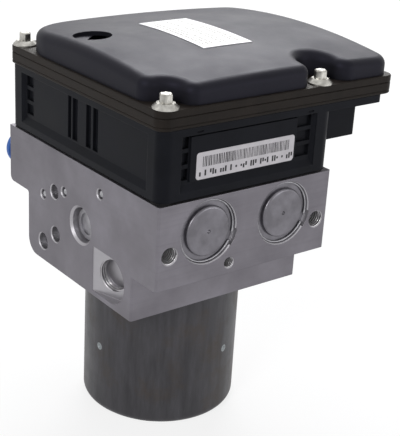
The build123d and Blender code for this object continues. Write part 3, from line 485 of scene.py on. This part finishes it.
plasticSettings = {
    "housingNylon": {"dark": "#131417", "pale": "#1a1b1f", "cloudMm": 18, "grainMm": 0.8,
                     "rough": 0.42, "edgeMm": 0.5, "bump": 0.35, "shine": 0.07, "tint": "#eef0ff"},
    "bandNylon": {"dark": "#221e1b", "pale": "#2b2622", "cloudMm": 14, "grainMm": 0.8,
                  "rough": 0.42, "edgeMm": 0.4, "bump": 0.3, "shine": 0.08, "tint": "#ffffff"},
    "coverNylon": {"dark": "#18181b", "pale": "#202024", "cloudMm": 30, "grainMm": 0.9,
                   "rough": 0.5, "edgeMm": 0.3, "bump": 0.5, "shine": 0.15, "tint": "#d8d4ff"},
    "naturalNylon": {"dark": "#b3a583", "pale": "#c8bb9b", "cloudMm": 12, "grainMm": 0.8,
                     "rough": 0.5, "edgeMm": 0.2, "bump": 0.2, "shine": 0.4, "tint": "#ffffff"},
    "blueCapPlastic": {"dark": "#2a5aa8", "pale": "#3c72c4", "cloudMm": 6, "grainMm": 0.7,
                       "rough": 0.4, "edgeMm": 0.3, "bump": 0.2, "shine": 0.4, "tint": "#ffffff"},
    "gasketRubber": {"dark": "#0c0c0d", "pale": "#151516", "cloudMm": 5, "grainMm": 0.6,
                     "rough": 0.75, "edgeMm": 0.2, "bump": 0.4, "shine": 0.2, "tint": "#ffffff"},
    "chipEpoxy": {"dark": "#17171a", "pale": "#222226", "cloudMm": 5, "grainMm": 0.5,
                  "rough": 0.6, "edgeMm": 0.1, "bump": 0.4, "shine": 0.3, "tint": "#ffffff"},
    "solderMask": {"dark": "#0f4a26", "pale": "#1c6a3a", "cloudMm": 3, "grainMm": 0.9,
                   "rough": 0.32, "edgeMm": 0.1, "bump": 0.2, "shine": 0.5, "tint": "#ffffff"},
    "pressedCarbon": {"dark": "#19191b", "pale": "#2c2c2f", "cloudMm": 1.5, "grainMm": 0.5,
                      "rough": 0.6, "edgeMm": 0.1, "bump": 0.6, "shine": 0.3, "tint": "#ffffff"},
    "sinteredFerrite": {"dark": "#2a2a2d", "pale": "#3b3b3f", "cloudMm": 4, "grainMm": 0.7,
                        "rough": 0.6, "edgeMm": 0.2, "bump": 0.5, "shine": 0.4, "tint": "#ffffff"},
    "labelFilm": {"dark": "#cdc9cc", "pale": "#dcd8da", "cloudMm": 9, "grainMm": 0.8,
                  "rough": 0.38, "edgeMm": 0.05, "bump": 0.08, "shine": 0.45, "tint": "#ffffff"},
    "topLabelFilm": {"dark": "#f0eef0", "pale": "#f8f6f8", "cloudMm": 9, "grainMm": 0.8,
                     "rough": 0.4, "edgeMm": 0.05, "bump": 0.08, "shine": 0.4, "tint": "#ffffff"},
    "labelInk": {"dark": "#1c1b1d", "pale": "#2a282b", "cloudMm": 2, "grainMm": 0.6,
                 "rough": 0.5, "edgeMm": 0.02, "bump": 0.1, "shine": 0.3, "tint": "#ffffff"},
    "paleInk": {"dark": "#8f8c88", "pale": "#a3a09a", "cloudMm": 2, "grainMm": 0.6,
                "rough": 0.5, "edgeMm": 0.02, "bump": 0.1, "shine": 0.3, "tint": "#ffffff"},
}
plasticFinish = {
    "toneSpan": (0.35, 0.65),
    "cloudDetail": 6.0,
    "cloudRough": 0.6,
    "grainDetail": 3.0,
    "grainRough": 0.5,
    "grainDepthMm": 0.05,
    "sheen": (0.06, 0.08),  # how far the roughness falls and rises
}


def mouldedPlastic(name, s, finish):
    # even colour, fine grain, soft shine; ink, rubber and pressed powder too
    mat, coord = startMaterial(name)
    clouds = addNoise(mat, coord, (s["cloudMm"], finish["cloudDetail"], finish["cloudRough"]))
    grain = addNoise(mat, coord, (s["grainMm"], finish["grainDetail"], finish["grainRough"]))
    polish = (s["rough"] - finish["sheen"][0], s["rough"] + finish["sheen"][1])
    bump = (s["bump"], finish["grainDepthMm"])
    return endMaterial(mat, {
        "Specular IOR Level": s["shine"],
        "Specular Tint": linearColour(s["tint"]),
        "Base Color": addTone(mat, clouds, list(zip(finish["toneSpan"], (s["dark"], s["pale"])))),
        "Roughness": addRange(mat, clouds, noiseSpan, polish),
        "Normal": addBump(mat, grain, bump, addEdges(mat, s["edgeMm"])),
    })


finished = [
    milledAluminium(millingSettings), coatedSteel(canSettings), zincSteel(zincSettings),
    groundSteel(groundSettings), enamelledCopper(copperSettings), laminatedSteel(stackSettings),
]
finished += [pressedMetal(name, s, pressedFinish) for name, s in pressedSettings.items()]
finished += [mouldedPlastic(name, s, plasticFinish) for name, s in plasticSettings.items()]
materials = {mat.name: mat for mat in finished}

dressing = {
    "milledAluminium": ["hydraulic_block"],
    "pressedAluminium": ["accumulator_caps", "accumulator_piston_1", "accumulator_piston_2"],
    "turnedSteel": ["pump_plugs", "retaining_rings"],
    "coatedDrawnSteel": ["motor_can"],
    "zincPlatedSteel": [
        "ecu_screws", "motor_bolts", "end_shield", "inlet_valves", "outlet_valves",
        "pump_spring_1", "pump_spring_2", "accumulator_spring_1", "accumulator_spring_2",
        "connector_pins", "motor_leads", "capacitors",
        *[f"valve_armature_{i}" for i in range(1, 9)],
    ],
    "groundBearingSteel": [
        "motor_shaft", "eccentric_ring", "foot_bearing", "head_bearing", "ball_plugs",
        "pump_sleeves", "pump_plunger_1", "pump_plunger_2",
    ],
    "enamelledCopper": ["armature_winding", "commutator", "inlet_coils", "outlet_coils"],
    "laminatedSheet": ["armature_core"],
    "housingNylon": ["ecu_housing"],
    "bandNylon": ["carrier_frame", "cover_frame"],
    "coverNylon": ["ecu_cover"],
    "naturalNylon": ["brush_plate"],
    "blueCapPlastic": ["transit_plug"],
    "gasketRubber": ["housing_gasket", "shaft_seal", "accumulator_seal_1", "accumulator_seal_2"],
    "chipEpoxy": ["processor", "driver_chips"],
    "solderMask": ["circuit_board"],
    "pressedCarbon": ["brushes"],
    "sinteredFerrite": ["motor_magnets"],
    "labelFilm": ["front_label"],
    "topLabelFilm": ["top_label"],
}
for matName, names in dressing.items():
    for name in names:
        mesh = nodes[name].data
        mesh.materials.clear()
        mesh.materials.append(materials[matName])
print("materials dressed")


threadSettings = {
    "bracketThreadLeft": {"mouth": (-43.2, -62.4, 110.0), "aim": (-90, 0, 0),
                          "radius": 4.0, "pitch": 1.25, "turns": 11},
    "bracketThreadRight": {"mouth": (43.2, -62.4, 110.0), "aim": (-90, 0, 0),
                           "radius": 4.0, "pitch": 1.25, "turns": 11},
    "auxThread": {"mouth": (-9.2, -62.4, 99.2), "aim": (-90, 0, 0),
                  "radius": 2.5, "pitch": 0.9, "turns": 9},
    "sensorThread": {"mouth": (-45.7, -23.4, 85.4), "aim": (0, 90, 17),
                     "radius": 8.0, "pitch": 1.5, "turns": 3},
}
threadFinish = {"ridge": 0.42, "corners": 3, "steps": 30}  # ridge as a share of the pitch


def cutThread(name, s, finish):
    # one ridge of triangular section, wound into the hole from its mouth
    deselect()
    bpy.ops.mesh.primitive_circle_add(vertices=finish["corners"], fill_type="NOTHING",
                                      radius=s["pitch"] * finish["ridge"] * mm,
                                      location=(s["radius"] * mm, 0, 0),
                                      rotation=(radians(90), radians(180), 0))
    thread = bpy.context.object
    thread.name = name
    bpy.ops.object.transform_apply(location=True, rotation=True, scale=True)
    helix = thread.modifiers.new("helix", "SCREW")
    helix.screw_offset = s["pitch"] * mm
    helix.iterations = s["turns"]
    helix.steps = finish["steps"]
    helix.render_steps = finish["steps"]
    bpy.ops.object.modifier_apply(modifier=helix.name)
    thread.rotation_euler = [radians(a) for a in s["aim"]]
    thread.location = [c * mm for c in s["mouth"]]
    bpy.ops.object.transform_apply(location=True, rotation=True, scale=True)
    bpy.ops.object.mode_set(mode="EDIT")
    bpy.ops.mesh.select_all(action="SELECT")
    bpy.ops.mesh.normals_make_consistent(inside=False)
    bpy.ops.object.mode_set(mode="OBJECT")
    # the pale thread tone is a painted highlight
    thread.data.materials.append(materials["paintedLightAluminium"])
    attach(thread, "unit")


for threadName, threadShape in threadSettings.items():
    cutThread(threadName, threadShape, threadFinish)
print("threads cut")


def inkRects(name, rects, mat):
    # a rectangle is (x0, x1, y0, y1, z0, z1) in mm, flat where both z are one
    made = []
    for x0, x1, y0, y1, z0, z1 in rects:
        deselect()
        centre = ((x0 + x1) / 2 * mm, (y0 + y1) / 2 * mm, (z0 + z1) / 2 * mm)
        if z1 > z0:
            bpy.ops.mesh.primitive_cube_add(size=1, location=centre)
        else:
            bpy.ops.mesh.primitive_plane_add(size=1, location=centre)
        bar = bpy.context.object
        bar.scale = ((x1 - x0) * mm, (y1 - y0) * mm, (z1 - z0) * mm or 1.0)
        made.append(bar)
    deselect()
    for bar in made:
        bar.select_set(True)
    bpy.context.view_layer.objects.active = made[0]
    bpy.ops.object.join()
    ink = bpy.context.object
    ink.name = name
    bpy.ops.object.transform_apply(location=True, rotation=True, scale=True)
    ink.data.materials.append(mat)
    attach(ink, "unit")
    return ink


# a row of plain bars over a row of plain marks, all sizes in mm
frontPrintSettings = {
    "seed": 11,
    "film": 0.03,
    "barFoot": 5.7,      # heights above the label's lower edge
    "barTop": 10.4,
    "barMargin": 3.4,
    "barWidths": (0.25, 0.35, 0.5),
    "barGaps": (0.35, 0.45, 0.6),
    "markFoot": 1.5,
    "markTop": 4.2,
    "markMargins": (1.6, 3.0),
    "markWidth": 0.9,
    "markPitch": 1.35,
    "marksInWord": (1, 3, 4),
    "markRises": (0.0, 0.0, 0.9),
    "markDrops": (0.0, 0.8),
    "wordGap": 1.6,
}


def printFrontLabel(s):
    low, high = (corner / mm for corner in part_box("front_label"))
    dice = random.Random(s["seed"])
    face = (low.y - s["film"], low.y)
    rects = []
    x = low.x + s["barMargin"]
    while x < high.x - s["barMargin"]:
        wide = dice.choice(s["barWidths"])
        rects.append((x, x + wide, *face, low.z + s["barFoot"], low.z + s["barTop"]))
        x += wide + dice.choice(s["barGaps"])
    x = low.x + s["markMargins"][0]
    while x < high.x - s["markMargins"][1]:
        for _ in range(dice.choice(s["marksInWord"])):
            foot = low.z + s["markFoot"] + dice.choice(s["markRises"])
            top = low.z + s["markTop"] - dice.choice(s["markDrops"])
            rects.append((x, x + s["markWidth"], *face, foot, top))
            x += s["markPitch"]
        x += s["wordGap"]
    inkRects("frontLabelBars", rects, materials["labelInk"])


# rows of plain marks that follow the crowned cover, all sizes in mm
topPrintSettings = {
    "seed": 12,
    "film": 0.03,
    "rows": 9,
    "emptyRows": (3, 6),
    "rowMargin": 3.0,
    "rowPitch": 2.5,
    "rowWidth": 0.9,
    "wordMargin": 4.0,
    "rowStops": (5.0, 12.0, 20.0),
    "wordLengths": (1.4, 2.2, 3.4),
    "wordGaps": (0.7, 1.1),
    "lift": 1.0,         # above the film before the marks are laid down
}


def printTopLabel(s):
    low, high = (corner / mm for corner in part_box("top_label"))
    dice = random.Random(s["seed"])
    height = high.z + s["lift"]
    rects = []
    for row in range(s["rows"]):
        if row in s["emptyRows"]:
            continue
        x = low.x + s["rowMargin"] + row * s["rowPitch"]
        y = low.y + s["wordMargin"]
        stop = high.y - dice.choice(s["rowStops"])
        while y < stop:
            wide = dice.choice(s["wordLengths"])
            rects.append((x, x + s["rowWidth"], y, y + wide, height, height))
            y += wide + dice.choice(s["wordGaps"])
    ink = inkRects("topLabelBars", rects, materials["paleInk"])
    pick(ink)
    lay = ink.modifiers.new("layDown", "SHRINKWRAP")
    lay.target = nodes["top_label"]
    lay.wrap_method = "PROJECT"
    lay.use_project_z = True
    lay.use_negative_direction = True
    lay.use_positive_direction = False
    lay.offset = s["film"] * mm
    bpy.ops.object.modifier_apply(modifier=lay.name)
    body = ink.modifiers.new("inkBody", "SOLIDIFY")
    body.thickness = s["film"] * mm
    body.offset = 1.0  # thickens upwards only
    bpy.ops.object.modifier_apply(modifier=body.name)


printFrontLabel(frontPrintSettings)
printTopLabel(topPrintSettings)
print("labels printed")
